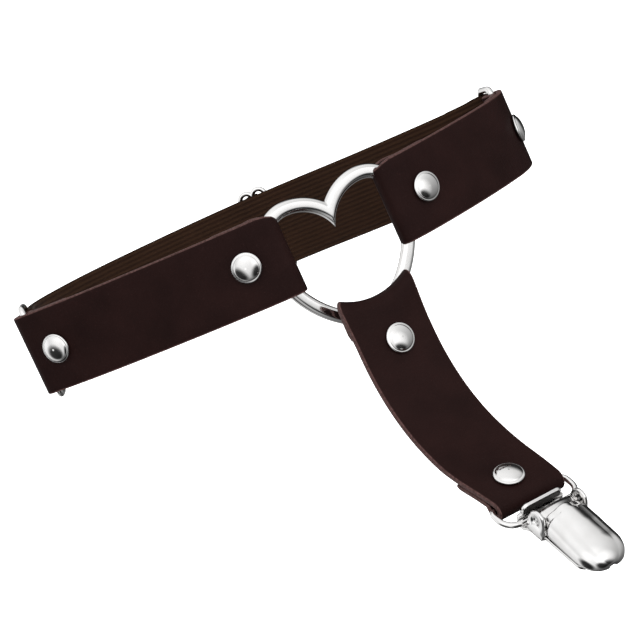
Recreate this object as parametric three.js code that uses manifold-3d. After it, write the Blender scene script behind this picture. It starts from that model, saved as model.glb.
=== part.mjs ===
// Thigh garter: a leather and elastic band with a heart ring, a drop strap and a garter clip.
// Millimetres, +Z up along the axis of the thigh, the front of the band towards -Y.
import * as THREE from 'three';
import { mergeVertices } from 'three/addons/utils/BufferGeometryUtils.js';
import Module from 'manifold-3d';

const wasm = await Module();
wasm.setup();

// Leather and elastic
const STRAP_WIDTH = 20;
const LEATHER = 1.5;
const ELASTIC = 1.1;
const LAYER_GAP = 0.2;
const CLEARANCE = 0.3;

// Heart ring: its centre line is made of three arcs a side
const HEART = {
  x: 13.7, y: -26, azimuth: 18, barWidth: 3.4, barThickness: 2, barBevel: 0.5,
  lobeX: 10, lobeTop: 8.9, cuspZ: 3.7, halfWidth: 17.8, tipZ: -23.2,
};
const HEART_FOLD_X = 13.2;

// Wire fittings
const RING_WIRE = 1.6;
const RING_CORNER = 1.5;
const RING_PITCH = 7;
const RING_INSIDE_HEIGHT = 20.8;
const SLIDER_WIRE = 1.3;
const SLIDER_PITCH = 3.4;
const SLIDER_HEIGHT = 23.4;

// Rivets
const CAP_RADIUS = 3.6;
const CAP_HEIGHT = 1.5;
const POST_RADIUS = 1.2;
const BACK_RADIUS = 2.3;
const BACK_HEIGHT = 0.9;

// Clip
const CLIP_WIDTH = 12.6;
const PLATE_WIDTH = 10.8;
const SHEET = 0.8;
const CLIP_LENGTH = 18.9;
const CLIP_SHIFT = 0.6;
const PIVOT = { l: 4.4, n: 3.9 };
const PIN_RADIUS = 0.7;
const LOOP_WIRE = 1.4;
const LOOP_CORNER = { strap: 1.6, clip: 3.4 };
const LOOP_INSIDE_WIDTH = 19;
const LOOP_SHIFT = 1;
const LOOP_PITCH = 6.4;

// Plan of the side straps, walked away from the heart: each row goes on and turns to an azimuth
const LEFT_STRAP = {
  azimuth: -1,
  rows: [
    { length: 7.6, azimuth: -13 },
    { length: 20, azimuth: -18 },
    { length: 17, azimuth: -22 },
    { length: 15, azimuth: -30 },
    { length: 7, azimuth: -31 },
  ],
  heartRivet: 7.7, heartRivetRise: 0.6, endRivet: 6.9, heartTail: 14, endTail: 14, sag: 0,
};
const RIGHT_STRAP = {
  azimuth: 18,
  rows: [
    { length: 7, azimuth: 31 },
    { length: 6, azimuth: 34 },
    { length: 11.6, azimuth: 41 },
    { length: 12.3, azimuth: 48 },
    { length: 9.5, azimuth: 70 },
    { length: 9, azimuth: 88 },
  ],
  heartRivet: 7.5, heartRivetRise: 0, endRivet: 6.9, heartTail: 14, endTail: 14, sag: 0.9,
};
const LEFT_RING_HEADING = 90;
const RIGHT_RING_HEADING = 104;
const LEFT_ELASTIC_HEADING = 86;
const RIGHT_ELASTIC_HEADING = 14;

// Plan of the elastic between the two rings, round the back
const ELASTIC_PLAN = [
  { x: -60.6, y: 8 },
  { x: -56, y: 17 },
  { x: -47, y: 25 },
  { x: -34, y: 30 },
  { x: -18, y: 32.8 },
  { x: -3, y: 32.3 },
  { x: 10, y: 28.8 },
  { x: 24, y: 22.8 },
  { x: 38, y: 19 },
  { x: 52, y: 17.6 },
];
const SLIDER_X = -4.5;
const SEWN_TAIL = 12;

// Drop strap: it hangs from the heart's tip and swings out to the front
const DROP = {
  x: 15.4, y: -32.6, z: -20.2, azimuth: 26, roll: -3.6, lean: 8,
  rows: [
    { length: 9.5, lean: 8 },
    { length: 14, lean: 28 },
    { length: 13, lean: 47 },
    { length: 13, lean: 59 },
    { length: 8.7, lean: 54 },
  ],
  topRivet: 8.4, topRivetAside: 0.6, bottomRivet: 4.9, topTail: 16, bottomTail: 11.5,
  saddle: 3, twist: 5, warpLength: 9,
  endTaper: 2, taperLength: 14,
};

const TURN_STEP = 7;
const CIRCLE_SIDES = 16;
const RAD = Math.PI / 180;

function finish(name, geometry, color, roughness, metalness) {
  const material = new THREE.MeshStandardMaterial({ color, roughness, metalness });
  const mesh = new THREE.Mesh(geometry, material);
  mesh.name = name;
  return mesh;
}

const leather = (name, geometry) => finish(name, geometry, 0x2a1c1a, 0.5, 0);
const webbing = (name, geometry) => finish(name, geometry, 0x33231a, 0.85, 0);
const nickel = (name, geometry) => finish(name, geometry, 0xc9c8c6, 0.2, 1);

function toSolid(geometry) {
  const bare = geometry.index ? geometry.toNonIndexed() : geometry.clone();
  bare.deleteAttribute('normal');
  bare.deleteAttribute('uv');
  const merged = mergeVertices(bare, 1e-4);
  return new wasm.Manifold(new wasm.Mesh({
    numProp: 3,
    vertProperties: new Float32Array(merged.attributes.position.array),
    triVerts: new Uint32Array(merged.index.array),
  }));
}

function toGeometry(solid) {
  const mesh = solid.getMesh();
  const geometry = new THREE.BufferGeometry();
  geometry.setAttribute('position', new THREE.BufferAttribute(new Float32Array(mesh.vertProperties), 3));
  geometry.setIndex(new THREE.BufferAttribute(new Uint32Array(mesh.triVerts), 1));
  return geometry;
}

function join(...geometries) {
  return toGeometry(geometries.map(toSolid).reduce((sum, next) => sum.add(next)));
}

function cut(geometry, ...tools) {
  return toGeometry(tools.map(toSolid).reduce((rest, tool) => rest.subtract(tool), toSolid(geometry)));
}

const polar = (angle, radius = 1) => new THREE.Vector2(radius * Math.cos(angle), radius * Math.sin(angle));

// Walks arcs from a start; each row has a length and the heading that it ends with
function walk(start, heading, rows) {
  const stations = [{ point: start.clone(), heading, s: 0 }];
  let at = start.clone();
  let from = heading;
  let s = 0;
  for (const row of rows) {
    const turn = row.heading - from;
    const steps = Math.max(2, Math.ceil(Math.abs(turn) / (TURN_STEP * RAD)));
    for (let i = 1; i <= steps; i += 1) {
      const middle = from + turn * (i - 0.5) / steps;
      at = at.clone().add(polar(middle, row.length / steps));
      s += row.length / steps;
      stations.push({ point: at, heading: from + turn * i / steps, s });
    }
    from = row.heading;
  }
  return stations;
}

function stationAt(stations, s) {
  const next = Math.max(1, stations.findIndex((station) => station.s >= s - 1e-9));
  const a = stations[next - 1];
  const b = stations[next];
  const t = (s - a.s) / (b.s - a.s);
  return { point: a.point.clone().lerp(b.point, t), heading: a.heading + (b.heading - a.heading) * t, s };
}

// Stations along a smooth curve through a few plan points
function smoothStations(points) {
  const curve = new THREE.SplineCurve(points);
  const total = curve.getLength();
  const steps = Math.ceil(total / 4);
  return Array.from({ length: steps + 1 }, (_, i) => {
    const tangent = curve.getTangentAt(i / steps);
    const heading = Math.atan2(tangent.y, tangent.x);
    return { point: curve.getPointAt(i / steps), heading, s: total * i / steps };
  });
}

const ease = (t) => 0.5 - 0.5 * Math.cos(Math.PI * Math.min(1, Math.max(0, t)));

function aside(station, side, offset) {
  return station.point.clone().add(polar(station.heading + side * Math.PI / 2, offset));
}

// A fold at one end of a strip: a half turn round a bar, then a tail that closes on the strip
function foldedEnd(stations, side, fold, thickness, atStart) {
  const total = stations[stations.length - 1].s;
  const at = (s) => stationAt(stations, atStart ? s : total - s);
  const apart = (s) => {
    const closed = thickness + LAYER_GAP;
    return closed + (2 * fold.radius - closed) * ease((fold.pinchTo - s) / (fold.pinchTo - fold.pinchFrom));
  };
  const pinch = [0, 1, 2, 3, 4, 5].map((i) => fold.pinchFrom + (fold.pinchTo - fold.pinchFrom) * i / 5);
  const beyond = stations.map((station) => (atStart ? station.s : total - station.s))
    .filter((s) => s > fold.pinchTo + 0.5 && s < fold.tail - 0.5).sort((a, b) => a - b);
  const spots = [0, ...pinch, ...beyond, fold.tail].reverse();
  const points = spots.map((s) => aside(at(s), side, apart(s)));
  const end = at(0);
  const centre = aside(end, side, fold.radius);
  const out = end.heading + (atStart ? Math.PI : 0);
  const sweep = atStart ? side : -side;
  const turns = 8;
  for (let i = 1; i < turns; i += 1) {
    const angle = out + sweep * Math.PI * (i / turns - 0.5);
    points.push(centre.clone().add(polar(angle, fold.radius)));
  }
  return { points, centre };
}

// The centre line of a strip with a fold at each end that has one
function foldedLine(stations, side, thickness, first, last) {
  const a = first ? foldedEnd(stations, side, first, thickness, true) : { points: [] };
  const b = last ? foldedEnd(stations, side, last, thickness, false) : { points: [] };
  const line = [...a.points, ...stations.map((station) => station.point), ...b.points.reverse()];
  return { line, centres: [a.centre, b.centre] };
}

// The outline of a strip of even thickness along a centre line
function ribbon(line, thickness) {
  const left = [];
  const right = [];
  line.forEach((point, i) => {
    const before = line[Math.max(0, i - 1)];
    const after = line[Math.min(line.length - 1, i + 1)];
    const incoming = point.clone().sub(before);
    const outgoing = after.clone().sub(point);
    if (i === 0) incoming.copy(outgoing);
    if (i === line.length - 1) outgoing.copy(incoming);
    const a = incoming.normalize();
    const b = outgoing.normalize();
    const mitre = a.clone().add(b).normalize();
    const reach = thickness / 2 / Math.max(0.5, mitre.dot(a));
    const normal = new THREE.Vector2(-mitre.y, mitre.x).multiplyScalar(reach);
    left.push(point.clone().add(normal));
    right.push(point.clone().sub(normal));
  });
  return new THREE.Shape([...left, ...right.reverse()]);
}

function extrude(shape, depth, steps = 1) {
  const geometry = new THREE.ExtrudeGeometry(shape, { depth, steps, bevelEnabled: false });
  geometry.translate(0, 0, -depth / 2);
  return geometry;
}

// A cylinder whose axis is Z
function rod(radius, length, sides = CIRCLE_SIDES) {
  return new THREE.CylinderGeometry(radius, radius, length, sides).rotateX(Math.PI / 2);
}

// A wire bent into a rounded rectangle in the XY plane, width and height between wire centres,
// with a corner radius for its -X side and one for its +X side
function wireLoop(width, height, leftCorner, rightCorner, wire) {
  const turns = 4;
  const line = [];
  [[1, 1], [-1, 1], [-1, -1], [1, -1]].forEach(([x, y], k) => {
    const corner = x > 0 ? rightCorner : leftCorner;
    const centre = new THREE.Vector2(x * (width / 2 - corner), y * (height / 2 - corner));
    for (let i = 0; i <= turns; i += 1) {
      line.push(centre.clone().add(polar(Math.PI / 2 * (k + i / turns), corner)));
    }
  });
  const apart = line.filter((point, i) => point.distanceTo(line[(i + 1) % line.length]) > 1e-6);
  return closedTube(apart, wire / 2, 8);
}

// A tube round a closed line in the XY plane that runs anticlockwise
function closedTube(line, radius, sides) {
  const vertices = [];
  const index = [];
  line.forEach((point, i) => {
    const incoming = point.clone().sub(line[(i + line.length - 1) % line.length]).normalize();
    const outgoing = line[(i + 1) % line.length].clone().sub(point).normalize();
    const along = incoming.clone().add(outgoing).normalize();
    const mitre = 1 / along.dot(incoming);
    for (let j = 0; j < sides; j += 1) {
      const ring = polar(2 * Math.PI * (j + 0.5) / sides, radius);
      const reach = ring.x * mitre;
      vertices.push(new THREE.Vector3(point.x + along.y * reach, point.y - along.x * reach, ring.y));
      const [here, next] = [i * sides, (i + 1) % line.length * sides];
      const across = (j + 1) % sides;
      index.push(here + j, next + j, next + across, here + j, next + across, here + across);
    }
  });
  const geometry = new THREE.BufferGeometry().setFromPoints(vertices);
  geometry.setIndex(index);
  return geometry;
}

// The half of the heart's centre line at +X, from its cusp over the lobe to its tip
function heartLine() {
  const { lobeX, lobeTop, cuspZ, halfWidth, tipZ } = HEART;
  const rise = lobeTop - cuspZ;
  const armRadius = (lobeX * lobeX + rise * rise) / (2 * rise);
  const lobeRadius = halfWidth - lobeX;
  const sideZ = lobeTop - lobeRadius;
  const drop = sideZ - tipZ;
  const sideRadius = (halfWidth * halfWidth + drop * drop) / (2 * halfWidth);
  const path = new THREE.Path();
  const overrun = { cusp: 0.34, tip: 0.1 };
  const cuspAngle = Math.PI / 2 + Math.asin(lobeX / armRadius) + overrun.cusp;
  const tipAngle = -Math.asin(drop / sideRadius) - overrun.tip;
  path.absarc(lobeX, lobeTop - armRadius, armRadius, cuspAngle, Math.PI / 2, true);
  path.absarc(lobeX, sideZ, lobeRadius, Math.PI / 2, 0, true);
  path.absarc(halfWidth - sideRadius, sideZ, sideRadius, 0, tipAngle, true);
  return path;
}

class PlaneCurve extends THREE.Curve {
  constructor(path) {
    super();
    this.path = path;
  }

  getPoint(t, target = new THREE.Vector3()) {
    const point = this.path.getPointAt(t);
    return target.set(point.x, 0, point.y);
  }
}

function bevelledBar(width, height, bevel) {
  const corners = [[1, 1], [-1, 1], [-1, -1], [1, -1]];
  return new THREE.Shape(corners.flatMap(([x, y]) => {
    const onSide = new THREE.Vector2(x * width / 2, y * (height / 2 - bevel));
    const onEnd = new THREE.Vector2(x * (width / 2 - bevel), y * height / 2);
    return x * y > 0 ? [onSide, onEnd] : [onEnd, onSide];
  }));
}

function heartHalf(grow, mirror) {
  const { barWidth, barThickness, barBevel } = HEART;
  const section = bevelledBar(barThickness + 2 * grow, barWidth + 2 * grow, barBevel);
  const half = new THREE.ExtrudeGeometry(section, {
    steps: 36, bevelEnabled: false, extrudePath: new PlaneCurve(heartLine()),
  });
  const reach = 60;
  const side = new THREE.BoxGeometry(reach, reach, 2 * reach).translate(reach / 2, 0, 0);
  const kept = toSolid(half).intersect(toSolid(side));
  return mirror ? kept.mirror([1, 0, 0]) : kept;
}

function heartShape(grow = 0) {
  return toGeometry(heartHalf(grow, false).add(heartHalf(grow, true)));
}

function placeHeart(geometry) {
  return geometry.rotateZ(HEART.azimuth * RAD).translate(HEART.x, HEART.y, 0);
}

// A point of the heart's plane in plan, h along the plane and out to the front
function heartPlan(h, out) {
  const azimuth = HEART.azimuth * RAD;
  return new THREE.Vector2(HEART.x, HEART.y).add(polar(azimuth, h)).add(polar(azimuth - Math.PI / 2, out));
}

// A rivet along +Z: the cap sits on z = 0 and the back closes on z = -grip
function rivet(grip) {
  const seat = CLEARANCE;
  const under = -grip - CLEARANCE;
  const edge = 0.35;
  const dome = [0, 0.4, 0.7, 0.9, 1].map((t) => new THREE.Vector2(
    CAP_RADIUS * t, seat + edge + (CAP_HEIGHT - edge) * Math.sqrt(1 - t * t),
  ));
  const profile = [
    new THREE.Vector2(0, under - BACK_HEIGHT),
    new THREE.Vector2(BACK_RADIUS * 0.7, under - BACK_HEIGHT),
    new THREE.Vector2(BACK_RADIUS, under - edge),
    new THREE.Vector2(BACK_RADIUS, under),
    new THREE.Vector2(POST_RADIUS, under),
    new THREE.Vector2(POST_RADIUS, seat),
    new THREE.Vector2(CAP_RADIUS, seat),
    ...dome.reverse(),
  ];
  return new THREE.LatheGeometry(profile, CIRCLE_SIDES).rotateX(Math.PI / 2);
}

// Puts something made along +Z on a strip's outer face, pointing away from the folded side
function onFace(geometry, station, side, thickness, rise = 0) {
  const out = station.heading - side * Math.PI / 2;
  const face = station.point.clone().add(polar(out, thickness / 2));
  return geometry.rotateY(Math.PI / 2).rotateZ(out).translate(face.x, face.y, rise);
}

function fold(bar, thickness, tail, pinchFrom, pinchTo) {
  return { radius: bar / 2 + CLEARANCE + thickness / 2, tail, pinchFrom, pinchTo };
}

const grip = 2 * LEATHER + LAYER_GAP;
const rivetHole = () => rod(POST_RADIUS + CLEARANCE, 4 * grip).translate(0, 0, -grip / 2);

// A side strap in plan; mirror is 1 for the right strap and -1 for the left one
function sideStrap(plan, mirror) {
  const heading = (azimuth) => (mirror > 0 ? azimuth : 180 + azimuth) * RAD;
  const heartFold = fold(HEART.barThickness, LEATHER, plan.heartTail, 2.8, 5);
  const ringFold = fold(RING_WIRE, LEATHER, plan.endTail, 0.8, 2.5);
  const reach = HEART_FOLD_X + heartFold.radius + LEATHER / 2;
  const start = heartPlan(mirror * reach, heartFold.radius);
  const rows = plan.rows.map((row) => ({ length: row.length, heading: heading(row.azimuth) }));
  const stations = walk(start, heading(plan.azimuth), rows);
  const { line, centres } = foldedLine(stations, mirror, LEATHER, heartFold, ringFold);
  const total = stations[stations.length - 1].s;
  const heartRivet = stationAt(stations, plan.heartRivet);
  const endRivet = stationAt(stations, total - plan.endRivet);
  const spots = [{ at: heartRivet, rise: plan.heartRivetRise }, { at: endRivet, rise: 0 }];
  const fit = ({ at, rise }, made) => onFace(made, at, mirror, LEATHER, rise);
  const holes = spots.map((spot) => fit(spot, rivetHole()));
  const body = cut(extrude(ribbon(line, LEATHER), STRAP_WIDTH), ...holes, cornerCut(mirror));
  const tilt = sagging(plan.sag, mirror, centres[1]);
  const solid = cut(body.applyMatrix4(tilt), placeHeart(heartShape(CLEARANCE)));
  const rivets = spots.map((spot) => fit(spot, rivet(grip)).applyMatrix4(tilt));
  return { solid, rivets, ringCentre: centres[1] };
}

// A slope in height along the heart's plane: the heart's end hangs lower than the ring's end
function sagging(sag, mirror, ringCentre) {
  const across = polar(HEART.azimuth * RAD);
  const ringAt = ringCentre.clone().sub(new THREE.Vector2(HEART.x, HEART.y)).dot(across);
  const slope = sag / (ringAt - mirror * HEART_FOLD_X);
  const [x, y] = [across.x * slope, across.y * slope];
  const shift = -(HEART.x * x + HEART.y * y + ringAt * slope);
  return new THREE.Matrix4().set(1, 0, 0, 0, 0, 1, 0, 0, x, y, 1, shift, 0, 0, 0, 1);
}

// A side strap's round top corner, from the fold outwards: h along the heart's plane, z up
const STRAP_CORNER = [{ h: 0, z: 7.6 }, { h: 1, z: 8.9 }, { h: 2.6, z: 9.7 }, { h: 5, z: 10.1 }];

// What is left out above that corner, where the heart's lobe leaves the strap
function cornerCut(mirror) {
  const [inside, above, depth] = [-5, 20, 30];
  const first = { h: inside, z: STRAP_CORNER[0].z };
  const last = STRAP_CORNER[STRAP_CORNER.length - 1];
  const outline = [first, ...STRAP_CORNER, { h: last.h, z: above }, { h: inside, z: above }];
  const shape = new THREE.Shape(outline.map(({ h, z }) => new THREE.Vector2(HEART_FOLD_X + h, z)));
  const wedge = extrude(shape, depth).rotateX(Math.PI / 2);
  if (mirror < 0) wedge.rotateZ(Math.PI);
  return placeHeart(wedge);
}

// The end ring stands upright: one bar in the leather's fold and one for the elastic
function endRing(centre, heading) {
  const height = RING_INSIDE_HEIGHT + RING_WIRE;
  const ring = wireLoop(RING_PITCH, height, RING_CORNER, RING_CORNER, RING_WIRE).rotateX(Math.PI / 2);
  const middle = centre.clone().add(polar(heading, RING_PITCH / 2));
  return ring.rotateZ(heading).translate(middle.x, middle.y, 0);
}

const left = sideStrap(LEFT_STRAP, -1);
const right = sideStrap(RIGHT_STRAP, 1);
const leftBar = left.ringCentre.clone().add(polar(LEFT_RING_HEADING * RAD, RING_PITCH));
const rightBar = right.ringCentre.clone().add(polar(RIGHT_RING_HEADING * RAD, RING_PITCH));

// The elastic: one strip round the back, doubled from the left ring to the slider
function elasticBand() {
  const radius = RING_WIRE / 2 + CLEARANCE + ELASTIC / 2;
  const first = leftBar.clone().add(polar((LEFT_ELASTIC_HEADING - 90) * RAD, radius));
  const last = rightBar.clone().add(polar((RIGHT_ELASTIC_HEADING - 90) * RAD, radius));
  const plan = ELASTIC_PLAN.map(({ x, y }) => new THREE.Vector2(x, y));
  const stations = smoothStations([first, ...plan, last]);
  const end = stations.find((station) => station.point.x > SLIDER_X);
  const ringFold = fold(RING_WIRE, ELASTIC, end.s, 1, 6);
  const sewnFold = fold(RING_WIRE, ELASTIC, SEWN_TAIL, 1, 6);
  const { line } = foldedLine(stations, 1, ELASTIC, ringFold, sewnFold);
  const sleeve = SLIDER_WIRE / 2 + CLEARANCE + ELASTIC / 2;
  const bar = aside(end, 1, ELASTIC + LAYER_GAP + sleeve);
  const wrap = new THREE.Shape();
  wrap.absarc(bar.x, bar.y, sleeve + ELASTIC / 2, 0, 2 * Math.PI);
  const hole = new THREE.Path();
  hole.absarc(bar.x, bar.y, sleeve - ELASTIC / 2, 0, 2 * Math.PI);
  wrap.holes.push(hole);
  const solid = join(extrude(ribbon(line, ELASTIC), STRAP_WIDTH), extrude(wrap, STRAP_WIDTH));
  return { solid, bar, barHeading: end.heading };
}

function slider(bar, heading) {
  const [height, corner] = [SLIDER_HEIGHT - SLIDER_WIRE, SLIDER_PITCH / 2];
  const lobe = () => wireLoop(SLIDER_PITCH, height, corner, corner, SLIDER_WIRE);
  const shift = SLIDER_PITCH / 2 - 0.02;
  const pair = join(lobe().translate(-shift, 0, 0), lobe().translate(shift, 0, 0));
  return pair.rotateX(Math.PI / 2).rotateZ(heading).translate(bar.x, bar.y, 0);
}

// The frame of the drop strap: x out of its face, y up along it, z across it
function dropFrame() {
  const azimuth = DROP.azimuth * RAD;
  const across = new THREE.Vector3(Math.cos(azimuth), Math.sin(azimuth), Math.tan(DROP.roll * RAD));
  across.normalize();
  const up = new THREE.Vector3(0, 0, 1).addScaledVector(across, -across.z).normalize();
  const out = new THREE.Vector3().crossVectors(up, across.clone().negate());
  const frame = new THREE.Matrix4().makeBasis(out, up, across.clone().negate());
  return frame.setPosition(DROP.x, DROP.y, DROP.z);
}

// Near the heart the drop strap turns into the heart's plane and its edges ride up the ring
function warpDrop(geometry, top) {
  const twist = DROP.twist * RAD;
  const position = geometry.attributes.position;
  for (let i = 0; i < position.count; i += 1) {
    const [x, y, z] = [position.getX(i), position.getY(i), position.getZ(i)];
    const share = ease(1 - (top - y) / DROP.warpLength);
    const angle = twist * share;
    const ride = DROP.saddle * share * (2 * z / STRAP_WIDTH) ** 2;
    position.setX(i, x * Math.cos(angle) - z * Math.sin(angle));
    position.setZ(i, x * Math.sin(angle) + z * Math.cos(angle));
    position.setY(i, y + ride);
  }
  return geometry;
}

// Towards the wire loop the drop strap's left edge runs in a little
function taperDrop(geometry) {
  geometry.computeBoundingBox();
  const low = geometry.boundingBox.min.y;
  const position = geometry.attributes.position;
  for (let i = 0; i < position.count; i += 1) {
    const z = position.getZ(i);
    const share = ease(1 - (position.getY(i) - low) / DROP.taperLength);
    position.setZ(i, z - DROP.endTaper * share * (z / STRAP_WIDTH + 0.5));
  }
  return geometry;
}

function dropStrap() {
  const heartFold = fold(HEART.barThickness, LEATHER, DROP.topTail, 3.6, 5.9);
  const loopFold = fold(LOOP_WIRE, LEATHER, DROP.bottomTail, 0.7, 2.4);
  const heading = (lean) => (lean - 90) * RAD;
  const rows = DROP.rows.map((row) => ({ length: row.length, heading: heading(row.lean) }));
  const stations = walk(new THREE.Vector2(0, 0), heading(DROP.lean), rows);
  const side = -1;
  const { line, centres } = foldedLine(stations, side, LEATHER, heartFold, loopFold);
  const total = stations[stations.length - 1].s;
  const frame = dropFrame();
  const body = extrude(ribbon(line, LEATHER), STRAP_WIDTH, 6);
  taperDrop(warpDrop(body, heartFold.radius));
  const spots = [stationAt(stations, DROP.topRivet), stationAt(stations, total - DROP.bottomRivet)];
  const rises = [-DROP.topRivetAside, 0];
  const holes = spots.map((at, i) => onFace(rivetHole(), at, side, LEATHER, rises[i]));
  const whole = cut(body, ...holes).applyMatrix4(frame);
  const solid = cut(whole, placeHeart(heartShape(CLEARANCE)));
  const rivets = spots.map((at, i) => onFace(rivet(grip), at, side, LEATHER, rises[i]).applyMatrix4(frame));
  return { solid, rivets, frame, loopCentre: centres[1], heading: stations[stations.length - 1].heading };
}

// An ear of the clip's base, l along the clip and n out of its face
const EAR_OUTLINE = [
  { l: 2.7, n: -0.4 },
  { l: 6.6, n: -0.4 },
  { l: 7, n: 1.6 },
  { l: 7, n: 4.3 },
  { l: 6.5, n: 5.7 },
  { l: 5.4, n: 6.4 },
  { l: 4, n: 6.4 },
  { l: 2.8, n: 5.6 },
  { l: 2, n: 4.2 },
  { l: 1.7, n: 2.4 },
  { l: 1.5, n: 0.2 },
];

// The wall behind the loop's wire, from its top down, the foot of the ears and the narrower plate
const WALL_LINE = [{ l: -0.75, n: 3.7 }, { l: -1.15, n: 2.5 }, { l: -1.4, n: 1 }];
const FOOT_LINE = [{ l: 1.9, n: -0.45 }, { l: 3, n: 0 }, { l: 7, n: 0 }];
const PLATE_LINE = [{ l: 6, n: 0 }, { l: CLIP_LENGTH - 1, n: 0 }, { l: CLIP_LENGTH, n: 0.15 }];

// What the wall's rounded corners leave out, w across the clip and n out of its face
const WALL_CUT = [
  { w: 5.4, n: 1 }, { w: 5.4, n: 2.5 }, { w: 5, n: 3.2 }, { w: 4, n: 3.7 },
  { w: 4, n: 6 }, { w: 8, n: 6 }, { w: 8, n: 1 },
];

// Clip frame: x along the clip to its nose, y out of its face, z across; the wire is at its origin
function clipBase() {
  const hook = LOOP_WIRE / 2 + CLEARANCE + SHEET / 2;
  const flat = ({ l, n }) => new THREE.Vector2(l, n);
  const turns = 7;
  const under = Array.from({ length: turns + 1 }, (_, i) => polar((180 + 130 * i / turns) * RAD, hook));
  const line = [...WALL_LINE.map(flat), ...under, ...FOOT_LINE.map(flat)];
  const hooked = extrude(ribbon(line, SHEET), CLIP_WIDTH);
  const plate = extrude(ribbon(PLATE_LINE.map(flat), SHEET), PLATE_WIDTH);
  const ear = new THREE.Shape(EAR_OUTLINE.map(flat));
  const shift = (CLIP_WIDTH - SHEET) / 2;
  const ears = [-shift, shift].map((z) => extrude(ear, SHEET).translate(0, 0, z));
  const hole = rod(PIN_RADIUS + CLEARANCE, 2 * CLIP_WIDTH).translate(PIVOT.l, PIVOT.n, 0);
  const corners = [-1, 1].map((side) => wallCorner(side));
  return cut(join(cut(hooked, ...corners), plate, ...ears), hole);
}

function wallCorner(side) {
  const points = WALL_CUT.map(({ w, n }) => new THREE.Vector2(side * w, n));
  const depth = 2.4;
  return extrude(new THREE.Shape(points), depth).rotateY(Math.PI / 2).translate(-depth / 2, 0, 0);
}

// The domed cover, a shell open towards the base: one row for each section along it
const COVER_ROWS = [
  { l: 3.2, half: 5.1, rim: 2.6, top: 5.2 },
  { l: 5.5, half: 5.2, rim: 2.2, top: 5.5 },
  { l: 5.8, half: 5.2, rim: 1.4, top: 6.8 },
  { l: 7.2, half: 5.2, rim: 1.3, top: 6.8 },
  { l: 7.6, half: 5.6, rim: 1.3, top: 6.8 },
  { l: 12, half: 5.7, rim: 1.1, top: 6.4 },
  { l: 16.5, half: 5.6, rim: 1, top: 5.6 },
  { l: 19, half: 5.1, rim: 0.9, top: 4.8 },
  { l: 21, half: 4, rim: 0.9, top: 3.8 },
  { l: 22.4, half: 2.4, rim: 0.9, top: 2.8 },
];

function coverSection(row, inset) {
  const arch = 10;
  const power = 0.62;
  const points = [];
  for (let i = 0; i <= arch; i += 1) {
    const angle = Math.PI * i / arch;
    const across = Math.sign(Math.cos(angle)) * Math.abs(Math.cos(angle)) ** power * (row.half - inset);
    const height = Math.sin(angle) ** power * Math.max(0.25, row.top - row.rim - inset);
    points.push(new THREE.Vector3(row.l, row.rim + height, across));
  }
  return points;
}

function clipCover() {
  const outer = COVER_ROWS.map((row) => coverSection(row, 0));
  const backWall = [1, 2];
  const inward = (i) => (backWall.includes(i) ? SHEET : 0) - (i === COVER_ROWS.length - 1 ? SHEET : 0);
  const inner = COVER_ROWS.map((row, i) => coverSection({ ...row, l: row.l + inward(i) }, SHEET));
  const across = outer[0].length;
  const vertices = [...outer.flat(), ...inner.flat()];
  const index = [];
  const at = (skin, i, j) => skin * outer.length * across + i * across + j;
  const quad = (a, b, c, d) => index.push(a, c, b, a, d, c);
  for (let i = 0; i + 1 < outer.length; i += 1) {
    for (let j = 0; j + 1 < across; j += 1) {
      quad(at(0, i, j), at(0, i, j + 1), at(0, i + 1, j + 1), at(0, i + 1, j));
      quad(at(1, i, j), at(1, i + 1, j), at(1, i + 1, j + 1), at(1, i, j + 1));
    }
    quad(at(0, i, 0), at(0, i + 1, 0), at(1, i + 1, 0), at(1, i, 0));
    quad(at(0, i, across - 1), at(1, i, across - 1), at(1, i + 1, across - 1), at(0, i + 1, across - 1));
  }
  const last = outer.length - 1;
  for (let j = 0; j + 1 < across; j += 1) {
    quad(at(0, 0, j), at(1, 0, j), at(1, 0, j + 1), at(0, 0, j + 1));
    quad(at(0, last, j), at(0, last, j + 1), at(1, last, j + 1), at(1, last, j));
  }
  const geometry = new THREE.BufferGeometry().setFromPoints(vertices);
  geometry.setIndex(index);
  const hole = rod(PIN_RADIUS + CLEARANCE, 2 * CLIP_WIDTH).translate(PIVOT.l, PIVOT.n, 0);
  return cut(geometry, hole);
}

function clipPin() {
  const set = 0.2;
  return rod(PIN_RADIUS, CLIP_WIDTH - 2 * set).translate(PIVOT.l, PIVOT.n, 0);
}

const elastic = elasticBand();
const drop = dropStrap();

// The clip hangs on the wire loop, in line with the end of the drop strap
function clipFrame() {
  const bar = drop.loopCentre.clone().add(polar(drop.heading, LOOP_PITCH));
  const turn = new THREE.Matrix4().makeRotationZ(drop.heading);
  return drop.frame.clone().multiply(turn.setPosition(bar.x, bar.y, 0));
}

function clipLoop() {
  const width = LOOP_INSIDE_WIDTH + LOOP_WIRE;
  const loop = wireLoop(LOOP_PITCH, width, LOOP_CORNER.strap, LOOP_CORNER.clip, LOOP_WIRE);
  return loop.rotateX(Math.PI / 2).translate(-LOOP_PITCH / 2, 0, -LOOP_SHIFT);
}

const clip = clipFrame();
const onLoop = (geometry) => geometry.applyMatrix4(clip);
const onClip = (geometry) => onLoop(geometry.translate(0, 0, -CLIP_SHIFT));

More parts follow.
